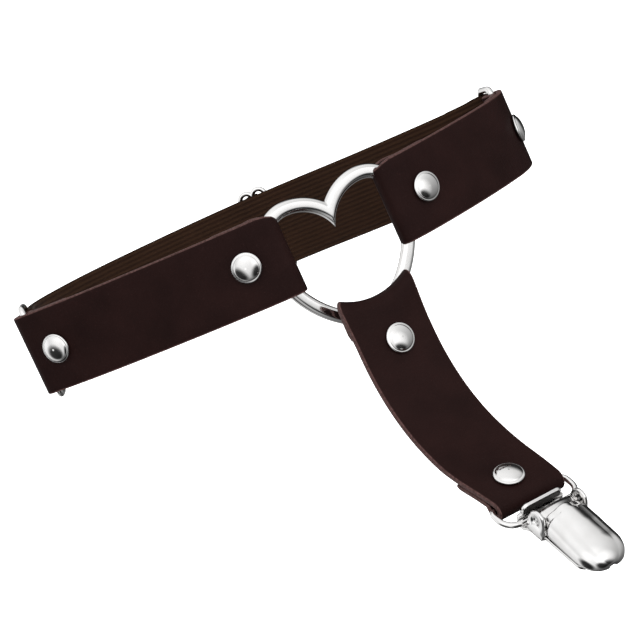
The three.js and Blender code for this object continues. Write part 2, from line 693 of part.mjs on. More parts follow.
const garter = new THREE.Group();
garter.add(
  leather('left_strap', left.solid),
  leather('right_strap', right.solid),
  leather('drop_strap', drop.solid),
  nickel('heart_ring', placeHeart(heartShape())),
  nickel('left_ring', endRing(left.ringCentre, LEFT_RING_HEADING * RAD)),
  nickel('right_ring', endRing(right.ringCentre, RIGHT_RING_HEADING * RAD)),
  webbing('elastic_band', elastic.solid),
  nickel('slider', slider(elastic.bar, elastic.barHeading)),
  nickel('rivet_left_heart', left.rivets[0]),
  nickel('rivet_left_end', left.rivets[1]),
  nickel('rivet_right_heart', right.rivets[0]),
  nickel('rivet_right_end', right.rivets[1]),
  nickel('rivet_drop_top', drop.rivets[0]),
  nickel('rivet_drop_bottom', drop.rivets[1]),
  nickel('clip_loop', onLoop(clipLoop())),
  nickel('clip_base', onClip(clipBase())),
  nickel('clip_cover', onClip(clipCover())),
  nickel('clip_pin', onClip(clipPin())),
);

export default garter;
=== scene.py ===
"""The looks of the thigh garter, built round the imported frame, in millimetres until a mesh is made."""

import cmath
import math
from collections import namedtuple

import bmesh
import bpy
from mathutils import Matrix, Vector


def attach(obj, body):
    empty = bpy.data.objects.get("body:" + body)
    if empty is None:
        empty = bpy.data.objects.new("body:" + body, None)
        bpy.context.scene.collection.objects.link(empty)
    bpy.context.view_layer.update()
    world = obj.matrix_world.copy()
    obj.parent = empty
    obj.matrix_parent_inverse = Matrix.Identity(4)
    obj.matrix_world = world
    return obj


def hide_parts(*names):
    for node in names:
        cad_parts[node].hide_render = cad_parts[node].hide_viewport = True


MM = 0.001
STRAP_WIDTH = 20
LEATHER = 1.5
ELASTIC = 1.1
LAYER_GAP = 0.2
CLEARANCE = 0.3

Heart = namedtuple("Heart", "x y azimuth width thickness lobe_x lobe_top cusp half_width tip")
HEART = Heart(13.7, -26, 18, 3.4, 2, 10, 8.9, 3.7, 17.8, -23.2)
HEART_FOLD_X = 13.2
STRAP_CORNER = [(0, 7.6), (1, 8.9), (2.6, 9.7), (5, 10.1)]

RING_WIRE = 1.6
RING_CORNER = 1.5
RING_PITCH = 7
RING_INSIDE_HEIGHT = 20.8
SLIDER_WIRE = 1.3
SLIDER_PITCH = 3.4
SLIDER_HEIGHT = 23.4

CAP_RADIUS = 3.6
CAP_HEIGHT = 1.5
BACK_RADIUS = 2.3
BACK_HEIGHT = 0.9

CLIP_WIDTH = 12.6
PLATE_WIDTH = 10.8
SHEET = 0.8
CLIP_LENGTH = 18.9
CLIP_SHIFT = 0.6
PIVOT = (4.4, 3.9)
PIN_RADIUS = 0.7
LOOP_WIRE = 1.4
STRAP_LOOP_CORNER = 1.6
CLIP_LOOP_CORNER = 3.4
LOOP_INSIDE_WIDTH = 19
LOOP_SHIFT = 1
LOOP_PITCH = 6.4

Fold = namedtuple("Fold", "radius tail pinch_from pinch_to")
Station = namedtuple("Station", "point heading s")
Row = namedtuple("Row", "length azimuth")
SideStrap = namedtuple("SideStrap", "azimuth rows heart_rivet heart_rise end_rivet tail sag")

LEFT_STRAP = SideStrap(
    -1, [Row(7.6, -13), Row(20, -18), Row(17, -22), Row(15, -30), Row(7, -31)], 7.7, 0.6, 6.9, 14, 0
)
RIGHT_STRAP = SideStrap(
    18, [Row(7, 31), Row(6, 34), Row(11.6, 41), Row(12.3, 48), Row(9.5, 70), Row(9, 88)], 7.5, 0, 6.9, 14, 0.9
)
LEFT_RING_HEADING = 90
RIGHT_RING_HEADING = 104
LEFT_ELASTIC_HEADING = 86
RIGHT_ELASTIC_HEADING = 14
ELASTIC_PLAN = [
    complex(-60.6, 8),
    complex(-56, 17),
    complex(-47, 25),
    complex(-34, 30),
    complex(-18, 32.8),
    complex(-3, 32.3),
    complex(10, 28.8),
    complex(24, 22.8),
    complex(38, 19),
    complex(52, 17.6),
]
SLIDER_X = -2.4
SEWN_TAIL = 12
RIB_COUNT = 18
RIB_DEPTH = 0.14
END_PULLS = (0.72, 0.93)
END_NARROWING = 0.06

Drop = namedtuple(
    "Drop",
    "x y z azimuth roll lean rows top_rivet top_aside bottom_rivet top_tail bottom_tail saddle twist warp"
    " end_taper taper_length",
)
DROP = Drop(
    15.4, -32.6, -20.2, 26, -3.6, 8,
    [Row(9.5, 8), Row(14, 28), Row(13, 47), Row(13, 59), Row(8.7, 54)],
    8.4, 0.6, 4.9, 16, 11.5, 3, 5, 9, 2, 14,
)


def polar(angle, radius=1.0):
    return cmath.rect(radius, angle)


def walk(start, heading, rows, step=0.8):
    """Stations along arcs from a start; each row has a length and the heading that it ends with."""
    stations = [Station(start, heading, 0.0)]
    point, s = start, 0.0
    for length, goal in rows:
        count = max(6, round(length / step))
        for i in range(count):
            point += polar(heading + (goal - heading) * (i + 0.5) / count, length / count)
            s += length / count
            stations.append(Station(point, heading + (goal - heading) * (i + 1) / count, s))
        heading = goal
    return stations


def station_at(stations, s):
    i = 1
    while i < len(stations) - 1 and stations[i].s < s:
        i += 1
    a, b = stations[i - 1], stations[i]
    t = (s - a.s) / (b.s - a.s)
    return Station(a.point + (b.point - a.point) * t, a.heading + (b.heading - a.heading) * t, s)


def ease(t):
    return 0.5 - 0.5 * math.cos(math.pi * min(1.0, max(0.0, t)))


def aside(station, side, offset):
    return station.point + polar(station.heading + side * math.pi / 2, offset)


def make_fold(bar, thickness, tail, pinch_from, pinch_to):
    return Fold(bar / 2 + CLEARANCE + thickness / 2, tail, pinch_from, pinch_to)


def folded_end(stations, side, fold, thickness, at_start):
    """A half turn round a bar, then a tail that closes on the strip."""
    total = stations[-1].s
    closed = thickness + LAYER_GAP

    def at(s):
        return station_at(stations, s if at_start else total - s)

    def apart(s):
        share = ease((fold.pinch_to - s) / (fold.pinch_to - fold.pinch_from))
        return closed + (2 * fold.radius - closed) * share

    count = round(fold.tail / 0.7)
    points = []
    for i in range(count + 1):
        s = fold.tail * (1 - i / count)
        points.append(aside(at(s), side, apart(s)))
    end = at(0)
    centre = aside(end, side, fold.radius)
    out = end.heading + (math.pi if at_start else 0)
    sweep = side if at_start else -side
    turns = 14
    for i in range(1, turns):
        points.append(centre + polar(out + sweep * (math.pi * i / turns - math.pi / 2), fold.radius))
    return points, centre


def folded_line(stations, side, thickness, first, last):
    a, first_centre = folded_end(stations, side, first, thickness, True)
    b, last_centre = folded_end(stations, side, last, thickness, False)
    return a + [station.point for station in stations] + b[::-1], first_centre, last_centre


def smooth_stations(points, step=1.2):
    """Stations along a Catmull-Rom curve through a few plan points, evenly spaced."""
    ends = [points[0] * 2 - points[1]] + points + [points[-1] * 2 - points[-2]]
    fine = []
    for i in range(1, len(ends) - 2):
        p0, p1, p2, p3 = ends[i - 1 : i + 3]
        for k in range(60):
            t = k / 60
            v0, v1 = (p2 - p0) / 2, (p3 - p1) / 2
            fine.append(
                (2 * p1 - 2 * p2 + v0 + v1) * t**3 + (-3 * p1 + 3 * p2 - 2 * v0 - v1) * t**2 + v0 * t + p1
            )
    fine.append(points[-1])
    lengths = [0.0]
    for a, b in zip(fine, fine[1:]):
        lengths.append(lengths[-1] + abs(b - a))
    count = math.ceil(lengths[-1] / step)
    stations, j = [], 1
    for i in range(count + 1):
        s = lengths[-1] * i / count
        while j < len(fine) - 1 and lengths[j] < s:
            j += 1
        t = (s - lengths[j - 1]) / (lengths[j] - lengths[j - 1])
        tangent = fine[j] - fine[j - 1]
        stations.append(Station(fine[j - 1] + tangent * t, cmath.phase(tangent), s))
    return stations


def box_section(width, thickness, corner, across=14):
    """A rounded bar's outline as (out, up, edge) points; edge is 1 on the cut sides."""
    points = []
    half, deep = width / 2, thickness / 2
    flat = half - corner
    for i in range(across + 1):
        points.append((deep, -flat + 2 * flat * i / across, 0.0))
    for i in range(1, 4):
        angle = math.pi / 2 * i / 4
        points.append((deep - corner + corner * math.cos(angle), flat + corner * math.sin(angle), 1.0))
    points.append((deep - corner, half, 1.0))
    points.append((corner - deep, half, 1.0))
    for i in range(1, 4):
        angle = math.pi / 2 * (1 - i / 4)
        points.append((-deep + corner - corner * math.cos(angle), flat + corner * math.sin(angle), 1.0))
    for i in range(across + 1):
        points.append((-deep, flat - 2 * flat * i / across, 0.0))
    for i in range(1, 4):
        angle = math.pi / 2 * i / 4
        points.append((-deep + corner - corner * math.cos(angle), -flat - corner * math.sin(angle), 1.0))
    points.append((corner - deep, -half, 1.0))
    points.append((deep - corner, -half, 1.0))
    for i in range(1, 4):
        angle = math.pi / 2 * (1 - i / 4)
        points.append((deep - corner + corner * math.cos(angle), -flat - corner * math.sin(angle), 1.0))
    return points


def ribbed_section(width, thickness, ribs, depth):
    """A webbing's outline: lengthwise ribs on both faces and rounded edges."""
    points = []
    half, deep = width / 2, thickness / 2
    steps = ribs * 6
    for face in (1, -1):
        for i in range(steps + 1):
            t = i / steps
            up = face * (-half + width * t)
            taper = min(1.0, 8 * t + 0.25, 8 * (1 - t) + 0.25)
            rib = depth * (0.5 - 0.5 * math.cos(2 * math.pi * ribs * t))
            points.append((face * (deep * taper - depth + rib), up, 1.0 if taper < 1 else 0.0))
    return points


def plan_frames(line):
    """Point, normal and length along for each point of a plan line."""
    frames, s = [], 0.0
    for i, point in enumerate(line):
        before = line[max(0, i - 1)]
        after = line[min(len(line) - 1, i + 1)]
        tangent = (after - before) / abs(after - before)
        if i:
            s += abs(point - line[i - 1])
        frames.append((point, tangent * -1j, s))
    return frames


def new_object(name, vertices, faces):
    mesh = bpy.data.meshes.new(name)
    mesh.from_pydata([Vector(v) * MM for v in vertices], [], faces)
    mesh.validate()
    shape = bmesh.new()
    shape.from_mesh(mesh)
    bmesh.ops.recalc_face_normals(shape, faces=shape.faces)
    shape.to_mesh(mesh)
    shape.free()
    mesh.polygons.foreach_set("use_smooth", [True] * len(mesh.polygons))
    piece = bpy.data.objects.new(name, mesh)
    bpy.context.scene.collection.objects.link(piece)
    return piece


def store(piece, name, values):
    attribute = piece.data.attributes.new(name, "FLOAT", "POINT")
    attribute.data.foreach_set("value", values)


def store_vector(piece, name, values):
    attribute = piece.data.attributes.new(name, "FLOAT_VECTOR", "POINT")
    attribute.data.foreach_set("vector", [x for value in values for x in value])


def skin(rings, closed=False):
    """Faces between rings of equal length, with a cap at each end unless the rings close."""
    count = len(rings[0])
    vertices = [v for ring in rings for v in ring]
    faces = []
    last = len(rings) if closed else len(rings) - 1
    for i in range(last):
        a, b = i * count, ((i + 1) % len(rings)) * count
        for j in range(count):
            k = (j + 1) % count
            faces.append((a + j, b + j, b + k, a + k))
    caps = []
    if not closed:
        caps = [tuple(range(count)), tuple(reversed(range(len(vertices) - count, len(vertices))))]
    return vertices, faces, caps


def strip(name, line, section, shape=None, place=None):
    """Sweeps a section along a plan line, thinner at its two ends; shape may change (out, up)."""
    frames = plan_frames(line)
    rings, where, edges = [], [], []
    for index, (point, normal, s) in enumerate(frames):
        ring = []
        end = min(index, len(frames) - 1 - index)
        pull = END_PULLS[end] if end < len(END_PULLS) else 1.0
        for out, up, edge in section:
            if shape:
                out, up = shape(point, s, out, up)
            at = point + normal * out * pull
            ring.append((at.real, at.imag, up * (1 - (1 - pull) * END_NARROWING)))
            where.append((s, up, out))
            edges.append(max(edge, 1.0 if end < 1 else 0.0))
        rings.append(ring)
    vertices, faces, caps = skin(rings)
    if place:
        vertices = [place(v) for v in vertices]
    piece = new_object(name, vertices, faces + caps)
    for polygon in piece.data.polygons[len(faces) :]:
        polygon.use_smooth = False
    store_vector(piece, "strip", where)
    store(piece, "cut_edge", edges)
    return piece


def tube(name, points, radius, sides, closed=True, up=(0, 0, 1)):
    """A tube through 3-D points; up is square to their plane."""
    up = Vector(up)
    path = [Vector(p) for p in points]
    count = len(path)
    rings = []
    for i, p in enumerate(path):
        before = path[(i - 1) % count] if closed else path[max(0, i - 1)]
        after = path[(i + 1) % count] if closed else path[min(count - 1, i + 1)]
        tangent = (after - before).normalized()
        side = tangent.cross(up).normalized()
        top = side.cross(tangent).normalized()
        ring = []
        for k in range(sides):
            angle = 2 * math.pi * k / sides
            ring.append(p + side * radius * math.cos(angle) + top * radius * math.sin(angle))
        rings.append(ring)
    vertices, faces, caps = skin(rings, closed)
    return new_object(name, vertices, faces + caps)


def rounded_loop(width, height, left_corner, right_corner, spacing=0.35):
    """Points of a rounded rectangle about the origin, in (x, y)."""
    points = []
    for k, (sx, sy) in enumerate(((1, 1), (-1, 1), (-1, -1), (1, -1))):
        corner = right_corner if sx > 0 else left_corner
        centre = complex(sx * (width / 2 - corner), sy * (height / 2 - corner))
        for i in range(9):
            points.append(centre + polar(math.pi / 2 * (k + i / 8), corner))
    dense = []
    for a, b in zip(points, points[1:] + points[:1]):
        count = max(1, math.ceil(abs(b - a) / (spacing * 6)))
        dense.extend(a + (b - a) * i / count for i in range(count) if abs(b - a) > 1e-6)
    return dense


# Materials


class Nodes:
    """The node tree of a material or of the world, with short helpers."""

    def __init__(self, owner, shader="Principled BSDF"):
        owner.use_nodes = True
        self.owner = owner
        self.tree = owner.node_tree
        self.shader = self.tree.nodes[shader]

    def add(self, kind, **values):
        node = self.tree.nodes.new(kind)
        for key, value in values.items():
            setattr(node, key, value)
        return node

    def link(self, a, b):
        self.tree.links.new(a, b)

    def strip_position(self, scale=(1, 1, 1)):
        attribute = self.add("ShaderNodeAttribute", attribute_name="strip")
        mapping = self.add("ShaderNodeMapping")
        mapping.inputs["Scale"].default_value = scale
        self.link(attribute.outputs["Vector"], mapping.inputs["Vector"])
        return mapping.outputs["Vector"]

    def object_position(self, scale=1000.0):
        coordinates = self.add("ShaderNodeTexCoord")
        mapping = self.add("ShaderNodeMapping")
        mapping.inputs["Scale"].default_value = (scale, scale, scale)
        self.link(coordinates.outputs["Object"], mapping.inputs["Vector"])
        return mapping.outputs["Vector"]

    def noise(self, vector, scale, detail=4.0, roughness=0.5):
        node = self.add("ShaderNodeTexNoise")
        node.inputs["Scale"].default_value = scale
        node.inputs["Detail"].default_value = detail
        node.inputs["Roughness"].default_value = roughness
        self.link(vector, node.inputs["Vector"])
        return node.outputs["Fac"]

    def ramp(self, factor, stops):
        node = self.add("ShaderNodeValToRGB")
        ramp = node.color_ramp
        ramp.elements[0].position, ramp.elements[0].color = stops[0][0], (*stops[0][1], 1)
        ramp.elements[1].position, ramp.elements[1].color = stops[-1][0], (*stops[-1][1], 1)
        for position, colour in stops[1:-1]:
            ramp.elements.new(position).color = (*colour, 1)
        self.link(factor, node.inputs["Fac"])
        return node.outputs["Color"]

    def remap(self, value, low, high, from_low=0.0, from_high=1.0, kind="LINEAR"):
        node = self.add("ShaderNodeMapRange", interpolation_type=kind)
        node.inputs["From Min"].default_value = from_low
        node.inputs["From Max"].default_value = from_high
        node.inputs["To Min"].default_value = low
        node.inputs["To Max"].default_value = high
        self.link(value, node.inputs["Value"])
        return node.outputs["Result"]

    def mix(self, factor, a, b):
        node = self.add("ShaderNodeMix", data_type="RGBA")
        self.link(factor, node.inputs["Factor"])
        for value, socket in ((a, node.inputs["A"]), (b, node.inputs["B"])):
            if isinstance(value, tuple):
                socket.default_value = (*value, 1)
            else:
                self.link(value, socket)
        return node.outputs["Result"]

    def math(self, operation, a, b):
        node = self.add("ShaderNodeMath", operation=operation)
        for value, socket in ((a, node.inputs[0]), (b, node.inputs[1])):
            if isinstance(value, (int, float)):
                socket.default_value = value
            else:
                self.link(value, socket)
        return node.outputs["Value"]

    def bump(self, height, distance, strength=1.0, normal=None):
        node = self.add("ShaderNodeBump")
        node.inputs["Strength"].default_value = strength
        node.inputs["Distance"].default_value = distance
        self.link(height, node.inputs["Height"])
        if normal:
            self.link(normal, node.inputs["Normal"])
        return node.outputs["Normal"]

    def facing(self, vector, toward):
        node = self.add("ShaderNodeVectorMath", operation="DOT_PRODUCT")
        node.inputs[1].default_value = Vector(toward).normalized()
        self.link(vector, node.inputs[0])
        return node.outputs["Value"]

    def attribute(self, name):
        return self.add("ShaderNodeAttribute", attribute_name=name).outputs["Fac"]


def leather_material():
    nodes = Nodes(bpy.data.materials.new("brown_leather"))
    position = nodes.strip_position()
    stretched = nodes.strip_position((1.6, 0.25, 1))
    cloud = nodes.noise(position, 0.09, 3)
    grain = nodes.noise(position, 2.6, 3, 0.6)
    face = nodes.ramp(cloud, [(0.3, (0.0088, 0.0034, 0.0031)), (0.7, (0.0128, 0.0049, 0.0044))])
    # The cut sides are lighter: partly the cut edge's own lighter tone, partly a painted highlight along the
    # rounded edges.
    fibre = nodes.noise(position, 1.7, 6, 0.7)
    edge = nodes.ramp(fibre, [(0.35, (0.034, 0.018, 0.016)), (0.7, (0.11, 0.058, 0.054))])
    colour = nodes.mix(nodes.attribute("cut_edge"), face, edge)
    nodes.link(colour, nodes.shader.inputs["Base Color"])
    pores = nodes.add("ShaderNodeTexVoronoi", feature="DISTANCE_TO_EDGE")
    pores.inputs["Scale"].default_value = 1.9
    nodes.link(position, pores.inputs["Vector"])
    cells = nodes.remap(pores.outputs["Distance"], 0, 1, 0, 0.25)
    creases = nodes.noise(stretched, 0.9, 4, 0.65)
    height = nodes.math("ADD", nodes.math("MULTIPLY", cells, 0.35), nodes.math("MULTIPLY", grain, 0.5))
    fine = nodes.bump(height, 0.00006, 0.55)
    broad = nodes.bump(creases, 0.0003, 0.4, fine)
    nodes.link(broad, nodes.shader.inputs["Normal"])
    nodes.link(nodes.remap(grain, 0.4, 0.58, 0.3, 0.7), nodes.shader.inputs["Roughness"])
    nodes.shader.inputs["Specular IOR Level"].default_value = 0.055
    return nodes.owner


def webbing_material():
    nodes = Nodes(bpy.data.materials.new("brown_elastic"))
    position = nodes.strip_position()
    cloud = nodes.noise(position, 0.12, 3)
    base = nodes.ramp(cloud, [(0.3, (0.0108, 0.0046, 0.0026)), (0.7, (0.0162, 0.0069, 0.0038))])
    ribs = nodes.add("ShaderNodeTexWave", bands_direction="Y")
    ribs.inputs["Scale"].default_value = RIB_COUNT / STRAP_WIDTH / 20 * 6.2832
    ribs.inputs["Distortion"].default_value = 1.1
    ribs.inputs["Detail"].default_value = 1.5
    ribs.inputs["Detail Scale"].default_value = 0.4
    nodes.link(position, ribs.inputs["Vector"])
    threads = nodes.noise(nodes.strip_position((0.35, 4.5, 1)), 1.5, 3)
    stitches = nodes.noise(nodes.strip_position((1.5, 1.6, 1)), 1.1, 3)
    rough = nodes.math("MULTIPLY", threads, 0.35)
    shade = nodes.math("ADD", nodes.math("MULTIPLY", ribs.outputs["Fac"], 0.45), rough)
    height = nodes.math("ADD", shade, nodes.math("MULTIPLY", stitches, 0.25))
    # The colour follows the weave's height: painted shade in the grooves between the ribs and painted light
    # on their tops, with a random tone from the threads and stitches.
    colour = nodes.mix(nodes.remap(height, 0, 0.7, 0.25, 0.85), base, (0.0275, 0.0134, 0.0068))
    nodes.link(colour, nodes.shader.inputs["Base Color"])
    nodes.link(nodes.bump(height, 0.00022, 0.7), nodes.shader.inputs["Normal"])
    nodes.link(nodes.remap(threads, 0.7, 0.9, 0.3, 0.7), nodes.shader.inputs["Roughness"])
    nodes.shader.inputs["Specular IOR Level"].default_value = 0.06
    nodes.shader.inputs["Sheen Weight"].default_value = 0.03
    nodes.shader.inputs["Sheen Roughness"].default_value = 0.5
    return nodes.owner


def metal_material():
    nodes = Nodes(bpy.data.materials.new("bright_plate"))
    position = nodes.object_position()
    haze = nodes.noise(position, 0.22, 3)
    tint = nodes.ramp(haze, [(0.3, (0.86, 0.85, 0.84)), (0.7, (0.93, 0.925, 0.92))])
    nodes.link(tint, nodes.shader.inputs["Base Color"])
    nodes.shader.inputs["Metallic"].default_value = 1.0
    rubbing = nodes.noise(position, 2.4, 5, 0.65)
    nodes.link(nodes.remap(rubbing, 0.09, 0.17, 0.35, 0.75), nodes.shader.inputs["Roughness"])
    nodes.link(nodes.bump(rubbing, 0.000012, 0.25), nodes.shader.inputs["Normal"])
    return nodes.owner


def painted_shade_material():
    nodes = Nodes(bpy.data.materials.new("painted_shade_plate"))
    position = nodes.object_position()
    shade_mottle = nodes.noise(position, 0.5, 4, 0.6)
    # The near-black tint is painted shade for the clip's insides; the mottle varies it at random.
    tint = nodes.ramp(shade_mottle, [(0.3, (0.03, 0.028, 0.026)), (0.7, (0.075, 0.07, 0.066))])
    nodes.link(tint, nodes.shader.inputs["Base Color"])
    nodes.shader.inputs["Metallic"].default_value = 1.0
    nodes.link(nodes.remap(shade_mottle, 0.35, 0.6, 0.3, 0.7), nodes.shader.inputs["Roughness"])
    nodes.link(nodes.bump(shade_mottle, 0.00003, 0.3), nodes.shader.inputs["Normal"])
    return nodes.owner


def dress(piece, material, slot, *nodes, body="garter"):
    piece.data.materials.append(material)
    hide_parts(*nodes)
    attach(piece, body)
    return piece


# Heart ring


def heart_plan(h, out):
    azimuth = math.radians(HEART.azimuth)
    return complex(HEART.x, HEART.y) + polar(azimuth, h) + polar(azimuth - math.pi / 2, out)


def across_heart(point):
    """How far a plan point is from the heart's middle, along the heart's face."""
    return ((point - complex(HEART.x, HEART.y)) * polar(-math.radians(HEART.azimuth))).real


def place_heart(v):
    at = heart_plan(v[0], -v[1])
    return (at.real, at.imag, v[2])


def heart_half(offset, count=22):
    """The half of the heart's line at +X, moved outwards by an offset, from its cusp to its tip."""
    rise = HEART.lobe_top - HEART.cusp
    arm = (HEART.lobe_x**2 + rise**2) / (2 * rise)
    lobe = HEART.half_width - HEART.lobe_x
    side_z = HEART.lobe_top - lobe
    drop = side_z - HEART.tip
    side = (HEART.half_width**2 + drop**2) / (2 * HEART.half_width)
    side_x = HEART.half_width - side
    cusp_angle = math.acos(max(-1.0, -HEART.lobe_x / (arm + offset)))
    tip_angle = -math.acos(-side_x / (side + offset))
    arcs = [
        (complex(HEART.lobe_x, HEART.lobe_top - arm), arm + offset, cusp_angle, math.pi / 2),
        (complex(HEART.lobe_x, side_z), lobe + offset, math.pi / 2, 0.0),
        (complex(side_x, side_z), side + offset, 0.0, tip_angle),
    ]
    points = []
    for centre, radius, first, last in arcs:
        for i in range(count):
            points.append(centre + polar(first + (last - first) * i / count, radius))
    centre, radius, _, last = arcs[-1]
    points.append(centre + polar(last, radius))
    return points


def round_corner(before, at, after, cut, steps):
    """A bend in place of a corner; it starts and ends a share of each side away from it."""
    first, last = at + (before - at) * cut, at + (after - at) * cut
    return [first * (1 - t) ** 2 + 2 * at * t * (1 - t) + last * t**2 for t in steps]


def rounded(corners, cut, steps):
    """A closed outline with all its corners rounded."""
    points = [complex(*corner) for corner in corners]
    outline = []
    for i, at in enumerate(points):
        outline += round_corner(points[i - 1], at, points[(i + 1) % len(points)], cut, steps)
    return outline


def bar_section():
    """The heart bar's outline as (across, deep): a flat front, wide soft shoulders and a flat back."""
    half, deep = HEART.width / 2, HEART.thickness / 2
    corners = [
        (half * 0.48, deep), (half * 0.86, deep * 0.5), (half, deep * -0.1), (half * 0.94, deep * -0.75),
        (half * 0.62, -deep), (-half * 0.62, -deep), (-half * 0.94, deep * -0.75), (-half, deep * -0.1),
        (-half * 0.86, deep * 0.5), (-half * 0.48, deep),
    ]
    return rounded(corners, 0.22, (0.0, 0.33, 0.67, 1.0))


def heart_ring():
    lines = []
    for p in bar_section():
        half = heart_half(p.real)
        other = [complex(-q.real, q.imag) for q in half[::-1]][1:-1]
        lines.append([(q.real, -p.imag, q.imag) for q in half + other])
    rings = [[place_heart(line[i]) for line in lines] for i in range(len(lines[0]))]
    vertices, faces, _ = skin(rings, True)
    return new_object("heart_ring_bar", vertices, faces)


# Straps


def corner_height(h):
    """The height of a side strap's round top corner at a distance from its fold."""
    for (a, low), (b, high) in zip(STRAP_CORNER, STRAP_CORNER[1:]):
        if h < b:
            return low + (high - low) * max(0.0, h - a) / (b - a)
    return STRAP_WIDTH / 2


def side_strap(plan, mirror, name):
    def heading(azimuth):
        return math.radians(azimuth if mirror > 0 else 180 + azimuth)

    heart_fold = make_fold(HEART.thickness, LEATHER, plan.tail, 2.8, 5)
    ring_fold = make_fold(RING_WIRE, LEATHER, plan.tail, 0.8, 2.5)
    reach = HEART_FOLD_X + heart_fold.radius + LEATHER / 2
    start = heart_plan(mirror * reach, heart_fold.radius)
    stations = walk(start, heading(plan.azimuth), [(row.length, heading(row.azimuth)) for row in plan.rows])
    line, _, ring_centre = folded_line(stations, mirror, LEATHER, heart_fold, ring_fold)

    def shape(point, s, out, up):
        top = corner_height(abs(across_heart(point)) - HEART_FOLD_X)
        if top < STRAP_WIDTH / 2:
            up = -STRAP_WIDTH / 2 + (up + STRAP_WIDTH / 2) * (top + STRAP_WIDTH / 2) / STRAP_WIDTH
        return out, up

    ring_at = across_heart(ring_centre)
    slope = plan.sag / (ring_at - mirror * HEART_FOLD_X)

    def place(v):
        at = across_heart(complex(v[0], v[1]))
        return Vector((v[0], v[1], v[2] + (at - ring_at) * slope))

    piece = strip(name, line, box_section(STRAP_WIDTH, LEATHER, 0.4), shape, place)
    total = stations[-1].s
    spots = [
        (station_at(stations, plan.heart_rivet), plan.heart_rise),
        (station_at(stations, total - plan.end_rivet), 0.0),
    ]
    return piece, spots, place, ring_centre


def drop_frame():
    azimuth = math.radians(DROP.azimuth)
    across = Vector((math.cos(azimuth), math.sin(azimuth), math.tan(math.radians(DROP.roll)))).normalized()
    up = (Vector((0, 0, 1)) - across * across.z).normalized()
    out = up.cross(-across)
    frame = Matrix((out, up, -across)).transposed().to_4x4()
    frame.translation = Vector((DROP.x, DROP.y, DROP.z))
    return frame


def drop_strap():
    heart_fold = make_fold(HEART.thickness, LEATHER, DROP.top_tail, 3.6, 5.9)
    loop_fold = make_fold(LOOP_WIRE, LEATHER, DROP.bottom_tail, 0.7, 2.4)
    rows = [(row.length, math.radians(row.azimuth - 90)) for row in DROP.rows]
    stations = walk(0j, math.radians(DROP.lean - 90), rows)
    line, _, loop_centre = folded_line(stations, -1, LEATHER, heart_fold, loop_fold)
    frame = drop_frame()
    twist = math.radians(DROP.twist)
    low = min(point.imag for point in line) - LEATHER / 2

    def place(v):
        x, y, z = v
        share = ease(1 - (heart_fold.radius - y) / DROP.warp)
        turn = twist * share
        ride = DROP.saddle * share * (2 * z / STRAP_WIDTH) ** 2
        turned = Vector((
            x * math.cos(turn) - z * math.sin(turn),
            y + ride,
            x * math.sin(turn) + z * math.cos(turn),
        ))
        taper = DROP.end_taper * ease(1 - (turned.y - low) / DROP.taper_length)
        turned.z -= taper * (turned.z / STRAP_WIDTH + 0.5)
        return frame @ turned

    behind = DROP.top_tail + math.pi * heart_fold.radius * 0.75
    narrowing, fade = 1.5, 3

    def shape(point, s, out, up):
        share = ease((behind + fade - s) / fade)
        return out, up - (narrowing * share * max(0, up) * 2 / STRAP_WIDTH)

    piece = strip("drop_strap_leather", line, box_section(STRAP_WIDTH, LEATHER, 0.4, 20), shape, place)
    total = stations[-1].s
    spots = [
        (station_at(stations, DROP.top_rivet), -DROP.top_aside),
        (station_at(stations, total - DROP.bottom_rivet), 0.0),
    ]
    return piece, spots, frame, loop_centre, stations[-1].heading


# Rivets


def rivet_piece(name, spot, side, place):
    """A domed cap with a rolled rim, and the flat back behind the folded layers."""
    station, rise = spot
    grip = 2 * LEATHER + LAYER_GAP
    under = -grip - CLEARANCE
    rolled = 0.34
    cap = [(CAP_RADIUS - 0.9, CLEARANCE - 0.12)]
    for i in range(9):
        angle = math.radians(-90 + 22.5 * i)
        radius = CAP_RADIUS - rolled + rolled * math.cos(angle)
        cap.append((radius, CLEARANCE + rolled * (1 + math.sin(angle)) - 0.1))
    inner = CAP_RADIUS - 1.5 * rolled
    for i in range(1, 15):
        t = math.cos(math.pi / 2 * i / 14)
        cap.append((inner * t, CLEARANCE + 0.5 + (CAP_HEIGHT - 0.5) * (1 - t**2) ** 0.6))
    foot = under - BACK_HEIGHT
    back = [(0.0, foot + 0.25), (1.0, foot + 0.2), (1.4, foot)]
    back += [(BACK_RADIUS * 0.75, foot), (BACK_RADIUS, under - 0.3), (BACK_RADIUS, under + 0.2)]
    vertices, faces = [], []
    turns = 48
    out = station.heading - side * math.pi / 2
    seat = station.point + polar(out, LEATHER / 2)
    for profile in (cap, back):
        first = len(vertices)
        for radius, height in profile:
            for k in range(turns):
                angle = 2 * math.pi * k / turns
                at = seat + polar(out, height) + polar(out + math.pi / 2, radius * math.cos(angle))
                vertices.append(place((at.real, at.imag, rise + radius * math.sin(angle))))
        for i in range(len(profile) - 1):
            for k in range(turns):
                a, b = first + i * turns, first + (i + 1) * turns
                faces.append((a + k, a + (k + 1) % turns, b + (k + 1) % turns, b + k))
        end = first + len(profile) * turns
        faces.append(tuple(range(end - turns, end)))
        faces.append(tuple(reversed(range(first, first + turns))))
    return new_object(name, vertices, faces)


# Wire fittings


def upright_loop(name, width, height, corner, wire, middle, heading, shifts=(0.0,)):
    """Wire loops standing upright in plan, side by side at the given shifts along the heading."""
    parts = []
    for shift in shifts:
        points = []
        for p in rounded_loop(width, height, corner, corner):
            at = middle + polar(heading, p.real + shift)
            points.append((at.real, at.imag, p.imag))
        side = polar(heading + math.pi / 2)
        parts.append(tube(name, points, wire / 2, 18, True, (side.real, side.imag, 0)))
    return merge(parts, name)


def merge(parts, name):
    if len(parts) == 1:
        return parts[0]
    vertices, faces = [], []
    for part in parts:
        first = len(vertices)
        vertices += [v.co / MM for v in part.data.vertices]
        faces += [tuple(first + i for i in polygon.vertices) for polygon in part.data.polygons]
        bpy.data.objects.remove(part)
    return new_object(name, vertices, faces)


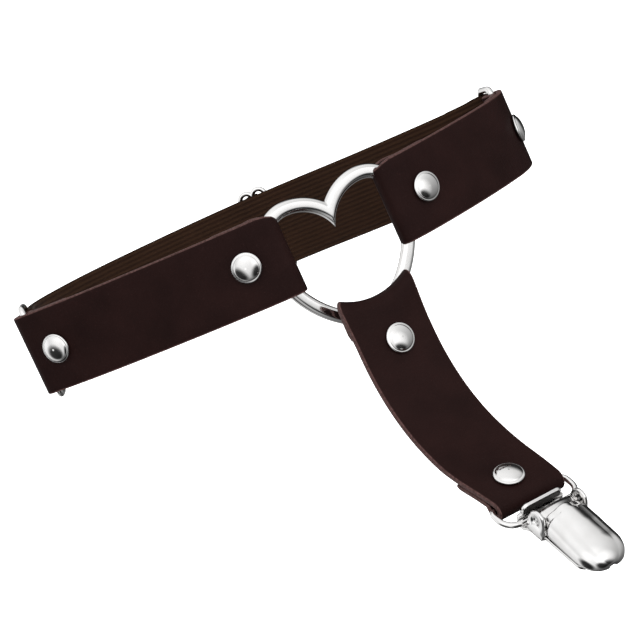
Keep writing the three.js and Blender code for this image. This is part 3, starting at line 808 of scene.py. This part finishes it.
def end_ring(name, centre, heading):
    height = RING_INSIDE_HEIGHT + RING_WIRE
    middle = centre + polar(heading, RING_PITCH / 2)
    return upright_loop(name, RING_PITCH, height, RING_CORNER, RING_WIRE, middle, heading)


# Elastic


def elastic_band(left_bar, right_bar):
    radius = RING_WIRE / 2 + CLEARANCE + ELASTIC / 2
    first = left_bar + polar(math.radians(LEFT_ELASTIC_HEADING - 90), radius)
    last = right_bar + polar(math.radians(RIGHT_ELASTIC_HEADING - 90), radius)
    stations = smooth_stations([first] + ELASTIC_PLAN + [last])
    end = next(station for station in stations if station.point.real > SLIDER_X)
    ring_fold = make_fold(RING_WIRE, ELASTIC, end.s, 1, 6)
    sewn_fold = make_fold(RING_WIRE, ELASTIC, SEWN_TAIL, 1, 6)
    line, _, _ = folded_line(stations, 1, ELASTIC, ring_fold, sewn_fold)
    sleeve = SLIDER_WIRE / 2 + CLEARANCE + ELASTIC / 2
    bar = aside(end, 1, ELASTIC + LAYER_GAP + sleeve)
    wrap = [bar + polar(end.heading + math.pi / 2 - 2 * math.pi * i / 30 * 0.985, sleeve) for i in range(31)]
    section = ribbed_section(STRAP_WIDTH, ELASTIC, RIB_COUNT, RIB_DEPTH)
    band = strip("elastic_webbing", line, section)
    loop = strip("elastic_turn", wrap, section)
    return band, loop, bar, end.heading


# Clip: l along it to its nose, n out of its face, w across it


def clip_place(frame, loop_centre, heading, shift):
    bar = loop_centre + polar(heading, LOOP_PITCH)
    turn = Matrix.Rotation(heading, 4, "Z")
    turn.translation = Vector((bar.real, bar.imag, 0))
    matrix = frame @ turn

    def place(v):
        return matrix @ Vector((v[0], v[1], v[2] - shift))

    return place


def clip_base(place):
    """A wall behind the loop's wire, a hook under it, a foot with two ears and a narrower plate."""
    hook = LOOP_WIRE / 2 + CLEARANCE + SHEET / 2
    wall_half, wall_corner, wall_top = 5.4, 1.3, 3.7
    wall = [complex(-0.75, wall_top), complex(-0.79, 3.6), complex(-0.86, 3.35), complex(-0.95, 3.1)]
    wall += [complex(-1.05, 2.8), complex(-1.15, 2.5), complex(-1.3, 1.7)]
    wall += [complex(-1.4, 1.05), complex(-1.42, 0.9)]
    under = [polar(math.radians(180 + 130 * i / 18), hook) for i in range(19)]
    plate = [complex(1.9, -0.45), complex(2.4, -0.16), complex(3, 0), complex(5, 0)]
    plate += [complex(6.4 + 0.1 * i, 0) for i in range(7)]
    plate += [complex(7 + (CLIP_LENGTH - 9) * i / 6, 0) for i in range(1, 7)]
    plate += [complex(CLIP_LENGTH - 2 + 0.25 * i, 0.02 * i) for i in range(1, 9)]

    def shape(point, s, out, up):
        half = CLIP_WIDTH / 2
        if point.real < 0 and point.imag > 1:
            beyond = max(0.0, point.imag - (wall_top - wall_corner)) / wall_corner
            half = wall_half - wall_corner * (1 - math.sqrt(max(0.0, 1 - beyond**2)))
        if point.real > 6.4:
            half -= (CLIP_WIDTH - PLATE_WIDTH) / 2 * ease((point.real - 6.4) / 0.6)
            beyond = max(0.0, point.real - (CLIP_LENGTH - 2)) / 2
            half -= 1.6 * (1 - math.sqrt(max(0.0, 1 - beyond**2)))
        return out, up * half * 2 / CLIP_WIDTH

    section = box_section(CLIP_WIDTH, SHEET, 0.22, 6)
    parts = [strip("clip_plate", wall + under + plate, section, shape, place)]
    outline = [
        (2.7, -0.4), (6.6, -0.4), (7, 1.6), (7, 4.3), (6.5, 5.7), (5.4, 6.4), (4, 6.4), (2.8, 5.6), (2, 4.2),
        (1.7, 2.4), (1.5, 0.2),
    ]
    for side in (-1, 1):
        parts.append(ear(outline, side * (CLIP_WIDTH - SHEET) / 2, place))
    return merge(parts, "clip_base_plate")


def wall_panel(place):
    """The inner face of the wall, inside its bright rim, dark with painted shade."""
    low, high, corner, half = 1.2, 3.4, 1.1, 4.9
    line = [complex(0.0, low + (high - low) * i / 14) for i in range(15)]
    line = [complex(-1.36 + 0.61 * (p.imag - 1.1) / 2.6 + SHEET / 2 + 0.06, p.imag) for p in line]

    def shape(point, s, out, up):
        beyond = max(0.0, point.imag - (high - corner)) / corner
        return out, up / half * (half - corner * (1 - math.sqrt(max(0.0, 1 - beyond**2))))

    return strip("clip_wall_panel", line, box_section(2 * half, 0.06, 0.02, 6), shape, place)


def ear(outline, middle, place):
    """A rounded ear with the pin's hole through it."""
    corners = [complex(*corner) for corner in outline]
    smooth = []
    for i, at in enumerate(corners):
        if at.imag < 0:
            smooth.append(at)
        else:
            after = corners[(i + 1) % len(corners)]
            smooth += round_corner(corners[i - 1], at, after, 0.4, (0.0, 0.25, 0.5, 0.75, 1.0))
    hole = complex(*PIVOT)
    inner = [hole + (p - hole) / abs(p - hole) * (PIN_RADIUS + 0.12) for p in smooth]
    rim = [p + (hole - p) / abs(hole - p) * 0.18 for p in smooth]
    rings = []
    for line, depth in ((inner, -1), (rim, -1), (smooth, -0.6), (smooth, 0.6), (rim, 1), (inner, 1)):
        rings.append([(p.real, p.imag, middle + depth * SHEET / 2) for p in line])
    vertices, faces, _ = skin(rings, True)
    return new_object("ear", [place(v) for v in vertices], faces)


CoverRow = namedtuple("CoverRow", "l half rim top")
COVER_ROWS = [
    CoverRow(3.2, 5.1, 2.6, 5.2),
    CoverRow(5.5, 5.2, 2.2, 5.5),
    CoverRow(5.62, 5.2, 1.9, 6.35),
    CoverRow(5.78, 5.2, 1.7, 6.68),
    CoverRow(6.05, 5.2, 1.6, 6.82),
    CoverRow(7.2, 5.2, 1.5, 6.84),
    CoverRow(7.6, 5.6, 1.5, 6.8),
    CoverRow(12, 5.75, 1.4, 6.4),
    CoverRow(16.5, 5.8, 1.3, 5.6),
    CoverRow(22.4, 1, 1.1, 2),
]


def cover_row(l):
    rows = COVER_ROWS
    i = 1
    while i < len(rows) - 1 and rows[i].l < l:
        i += 1
    a, b = rows[i - 1], rows[i]
    t = (l - a.l) / (b.l - a.l)
    row = CoverRow(*(x + (y - x) * t for x, y in zip(a, b)))
    if b is not rows[-1]:
        return row
    half = b.half + (a.half - b.half) * (1 - t**2.5) ** 0.5
    return row._replace(half=half, top=b.top + (a.top - b.top) * (1 - t**1.9) ** 0.6)


def cover_section(row, inset):
    """From one rim over the back to the other as (height, across): upright walls and a crowned top."""
    half, top, floor = row.half - inset, row.top - inset, row.rim
    corner = min(3, (top - floor) * 0.62, half * 0.6)
    crown = 0.65 * (top - floor) / 4
    points = [(floor, half), (floor + (top - crown - corner - floor) * 0.5, half)]
    for i in range(7):
        angle = math.pi / 2 * i / 6
        height = top - crown - corner + corner * math.sin(angle)
        points.append((height, half - corner + corner * math.cos(angle)))
    for i in range(1, 9):
        across = (half - corner) * (1 - i / 8)
        points.append((top - crown * (across / (half - corner)) ** 2, across))
    return points + [(height, -across) for height, across in points[-2::-1]]


def shell_faces(count, length):
    """Faces of a shell: an outer skin, an inner skin and a rim all round; each ring has count points."""
    base = length * count
    last = base - count
    faces = []
    for i in range(length - 1):
        for j in range(count - 1):
            a, b = i * count + j, (i + 1) * count + j
            faces.append((a, a + 1, b + 1, b))
            faces.append((base + a, base + b, base + b + 1, base + a + 1))
        a, b = i * count, (i + 1) * count
        faces.append((a, b, base + b, base + a))
        a, b = a + count - 1, b + count - 1
        faces.append((a, base + a, base + b, b))
    for j in range(count - 1):
        faces.append((j, base + j, base + j + 1, j + 1))
        faces.append((last + j, last + j + 1, base + last + j + 1, base + last + j))
    return faces


def clip_cover(place):
    """The domed cover; its inner skin has the second material, a dark metal that is painted shade."""
    tongue = [3.2, 4, 4.8, 5.44]
    wall = [5.5, 5.56, 5.62, 5.7, 5.78, 5.9, 6.05]
    body = [6.4, 7, 7.15, 7.25, 7.35, 7.45, 7.55, 7.65, 7.9, 8.4] + [9 + 0.6 * i for i in range(15)]
    nose = [18, 18.6, 19.2, 19.8, 20.3, 20.8, 21.2, 21.5, 21.7, 21.9, 22.08, 22.2, 22.3, 22.36, 22.4]
    spots = tongue + wall + body + nose
    skins = []
    for inset in (0.0, SHEET * 0.8):
        rings = []
        for l in spots:
            row = cover_row(l)
            behind = inset if l in wall else 0.0
            before = inset if l == spots[-1] else 0.0
            section = cover_section(row, inset)
            rings.append([place((l + behind - before, n, across)) for n, across in section])
        skins.append(rings)
    outer = skins[0]
    vertices = [v for rings in skins for ring in rings for v in ring]
    shell = new_object("clip_cover_shell", vertices, shell_faces(len(outer[0]), len(outer)))
    for polygon in shell.data.polygons:
        polygon.material_index = int(min(polygon.vertices) >= len(vertices) // 2)
    return shell


def clip_pin(place):
    reach = CLIP_WIDTH / 2 - 0.2
    points = [place((PIVOT[0], PIVOT[1], -reach + 2 * reach * i / 6)) for i in range(7)]
    return tube("clip_pin_rod", points, PIN_RADIUS, 24, False)


def clip_loop(place):
    height = LOOP_INSIDE_WIDTH + LOOP_WIRE
    outline = rounded_loop(LOOP_PITCH, height, STRAP_LOOP_CORNER, CLIP_LOOP_CORNER)
    points = [place((p.real - LOOP_PITCH / 2, 0, p.imag - LOOP_SHIFT)) for p in outline]
    return tube("clip_loop_wire", points, LOOP_WIRE / 2, 18, True, place((0, 1, 0)) - place((0, 0, 0)))


# The scene round the object

# Sides of the studio as the bright metal shows them. A side begins where a direction's cosine to
# toward is start, and has its full strength from full on
BrightSide = namedtuple("BrightSide", "toward start full power")
DarkSide = namedtuple("DarkSide", "toward start full")
BRIGHT_SIDES = [
    BrightSide((-0.1, -0.97, 0.05), 0.3, 0.9, 0.35),
    BrightSide((0.58, -0.8, -0.1), 0.75, 0.98, 0.34),
    BrightSide((-0.85, 0.45, -0.2), 0.55, 0.9, 0.35),
]
DARK_SIDES = [
    DarkSide((0.48, 0.84, 0.26), 0.72, 0.95),
    DarkSide((0.3, -0.72, -0.62), 0.78, 0.95),
    DarkSide((-0.85, -0.35, -0.4), 0.78, 0.95),
]
CAMERA_PLACE = Vector((1.5, -501.5, 49.5))
OBJECT_MIDDLE = (0, 0, -0.02)
FLOOR_HEIGHT = -200


def add_light(name, place, target, size, power):
    """A soft box that lights the object but isn't seen in the bright metal."""
    data = bpy.data.lights.new(name, "AREA")
    data.shape = "RECTANGLE"
    data.size, data.size_y = size
    data.energy = power
    lamp = bpy.data.objects.new(name, data)
    bpy.context.scene.collection.objects.link(lamp)
    lamp.location = place
    lamp.rotation_euler = (Vector(target) - Vector(place)).to_track_quat("-Z", "Y").to_euler()
    lamp.visible_glossy = False


def add_floor(height):
    """A roll of pale paper: a floor that sweeps up into a wall behind the object."""
    side, front, level, back, radius, wall = 2000, -1500, 160, 1500, 900, 3500
    profile = [(front, height), (0, height), (level, height)]
    for i in range(17):
        angle = math.pi / 2 * i / 16
        profile.append((back + radius * math.sin(angle), height + radius * (1 - math.cos(angle))))
    profile.append((back + radius, wall))
    vertices = [(x, y, z) for y, z in profile for x in (-side, side)]
    faces = [(2 * i, 2 * i + 1, 2 * i + 3, 2 * i + 2) for i in range(len(profile) - 1)]
    floor = new_object("floor", vertices, faces)
    nodes = Nodes(bpy.data.materials.new("pale_floor"))
    position = nodes.object_position(1.0)
    tone = nodes.noise(position, 3, 2)
    paper = nodes.ramp(tone, [(0, (0.9, 0.9, 0.9)), (1, (0.93, 0.93, 0.93))])
    nodes.link(paper, nodes.shader.inputs["Base Color"])
    nodes.shader.inputs["Roughness"].default_value = 0.9
    # The paper glows more towards the back and is darkened at the front: painted light and painted shade on
    # the floor.
    nodes.shader.inputs["Emission Color"].default_value = (1, 1, 1, 1)
    depth = nodes.facing(position, (0, 1, 0))
    glow = nodes.remap(depth, 0, 0.75, -0.1, 0.16, "SMOOTHSTEP")
    nodes.link(glow, nodes.shader.inputs["Emission Strength"])
    floor.data.materials.append(nodes.owner)
    floor.visible_glossy = False


def add_camera():
    focal_pixels, frame_pixels = 2075, 640
    pitch, roll = math.radians(8.11), math.radians(24.4)
    data = bpy.data.cameras.new("camera")
    data.sensor_width = 36
    data.lens = 36 * focal_pixels / frame_pixels
    data.clip_start = 0.01
    camera = bpy.data.objects.new("camera", data)
    bpy.context.scene.collection.objects.link(camera)
    level_up = Vector((0, math.sin(pitch), math.cos(pitch)))
    back = Vector((0, -math.cos(pitch), math.sin(pitch)))
    right = Vector((1, 0, 0)) * math.cos(roll) - level_up * math.sin(roll)
    up = Vector((1, 0, 0)) * math.sin(roll) + level_up * math.cos(roll)
    matrix = Matrix((right, up, back)).transposed().to_4x4()
    matrix.translation = CAMERA_PLACE * MM
    camera.matrix_world = matrix
    bpy.context.scene.camera = camera


def add_world():
    """A studio that is bright above and in front and dim below, with dark sides for the metal's edges."""
    world = bpy.data.worlds.new("studio")
    bpy.context.scene.world = world
    nodes = Nodes(world, "Background")
    direction = nodes.add("ShaderNodeTexCoord").outputs["Generated"]
    light = nodes.remap(nodes.facing(direction, (-0.15, -0.2, 0.97)), 0.05, 1.0, -1, 1)
    for toward, start, full, power in BRIGHT_SIDES:
        lobe = nodes.remap(nodes.facing(direction, toward), 0, power, start, full, "SMOOTHSTEP")
        light = nodes.math("ADD", light, lobe)
    for toward, start, full in DARK_SIDES:
        shade = nodes.remap(nodes.facing(direction, toward), 1, 0.04, start, full, "SMOOTHSTEP")
        light = nodes.math("MULTIPLY", light, shade)
    nodes.shader.inputs["Color"].default_value = (1, 1, 1, 1)
    nodes.link(light, nodes.shader.inputs["Strength"])


def build_rivets(metal, left_spots, on_left, right_spots, on_right, drop_spots, on_drop):
    rivets = [
        ("rivet_left_heart", left_spots[0], -1, on_left),
        ("rivet_left_end", left_spots[1], -1, on_left),
        ("rivet_right_heart", right_spots[0], 1, on_right),
        ("rivet_right_end", right_spots[1], 1, on_right),
        ("rivet_drop_top", drop_spots[0], -1, on_drop),
        ("rivet_drop_bottom", drop_spots[1], -1, on_drop),
    ]
    for name, spot, side, place in rivets:
        dress(rivet_piece(name + "_cap", spot, side, place), metal, "metal", name)


def build_back(metal, webbing, left_centre, right_centre):
    """The end rings, the elastic between them and its slider."""
    left_heading = math.radians(LEFT_RING_HEADING)
    right_heading = math.radians(RIGHT_RING_HEADING)
    dress(end_ring("left_ring_wire", left_centre, left_heading), metal, "metal", "left_ring")
    dress(end_ring("right_ring_wire", right_centre, right_heading), metal, "metal", "right_ring")
    left_bar = left_centre + polar(left_heading, RING_PITCH)
    right_bar = right_centre + polar(right_heading, RING_PITCH)
    band, turn, bar, bar_heading = elastic_band(left_bar, right_bar)
    dress(band, webbing, "webbing", "elastic_band")
    dress(turn, webbing, "webbing", "elastic_band")
    lobe = SLIDER_PITCH / 2
    height = SLIDER_HEIGHT - SLIDER_WIRE
    wire = upright_loop(
        "slider_wire", SLIDER_PITCH, height, lobe, SLIDER_WIRE, bar, bar_heading, (-lobe, lobe)
    )
    dress(wire, metal, "metal", "slider")


def build_clip(metal, frame, loop_centre, heading):
    on_loop = clip_place(frame, loop_centre, heading, 0)
    on_clip = clip_place(frame, loop_centre, heading, CLIP_SHIFT)
    dress(clip_loop(on_loop), metal, "metal", "clip_loop")
    # The wall panel and the cover's inner skin take this dark metal as painted shade.
    shade_metal = painted_shade_material()
    dress(clip_base(on_clip), metal, "metal", "clip_base")
    dress(wall_panel(on_clip), shade_metal, "metal", "clip_base")
    cover = dress(clip_cover(on_clip), metal, "metal", "clip_cover", body="cover")
    cover.data.materials.append(shade_metal)
    dress(clip_pin(on_clip), metal, "metal", "clip_pin")


def build_object():
    leather = leather_material()
    webbing = webbing_material()
    metal = metal_material()
    dress(heart_ring(), metal, "metal", "heart_ring")
    left, left_spots, on_left, left_centre = side_strap(LEFT_STRAP, -1, "left_strap_leather")
    right, right_spots, on_right, right_centre = side_strap(RIGHT_STRAP, 1, "right_strap_leather")
    dress(left, leather, "leather", "left_strap")
    dress(right, leather, "leather", "right_strap")
    drop, drop_spots, frame, loop_centre, drop_heading = drop_strap()
    dress(drop, leather, "leather", "drop_strap")

    def on_drop(v):
        return frame @ Vector(v)

    build_rivets(metal, left_spots, on_left, right_spots, on_right, drop_spots, on_drop)
    build_back(metal, webbing, left_centre, right_centre)
    build_clip(metal, frame, loop_centre, drop_heading)


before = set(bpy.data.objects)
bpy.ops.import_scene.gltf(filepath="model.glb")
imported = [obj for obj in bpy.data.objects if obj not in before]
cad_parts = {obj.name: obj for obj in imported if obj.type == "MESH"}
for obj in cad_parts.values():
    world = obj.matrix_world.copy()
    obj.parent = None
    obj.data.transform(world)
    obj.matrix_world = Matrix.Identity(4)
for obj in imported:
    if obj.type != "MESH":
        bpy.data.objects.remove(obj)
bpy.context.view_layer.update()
build_object()
add_camera()
add_world()
add_floor(FLOOR_HEIGHT)
add_light("key_light", (0.1, -1.1, 1.2), OBJECT_MIDDLE, (1.1, 0.8), 12)
add_light("fill_light", (1.0, -0.9, 0.6), OBJECT_MIDDLE, (0.7, 1.0), 7)
add_light("front_light", (0.75, -1.05, 0.05), OBJECT_MIDDLE, (0.7, 0.9), 1.2)
bpy.context.scene.view_settings.view_transform = "Standard"
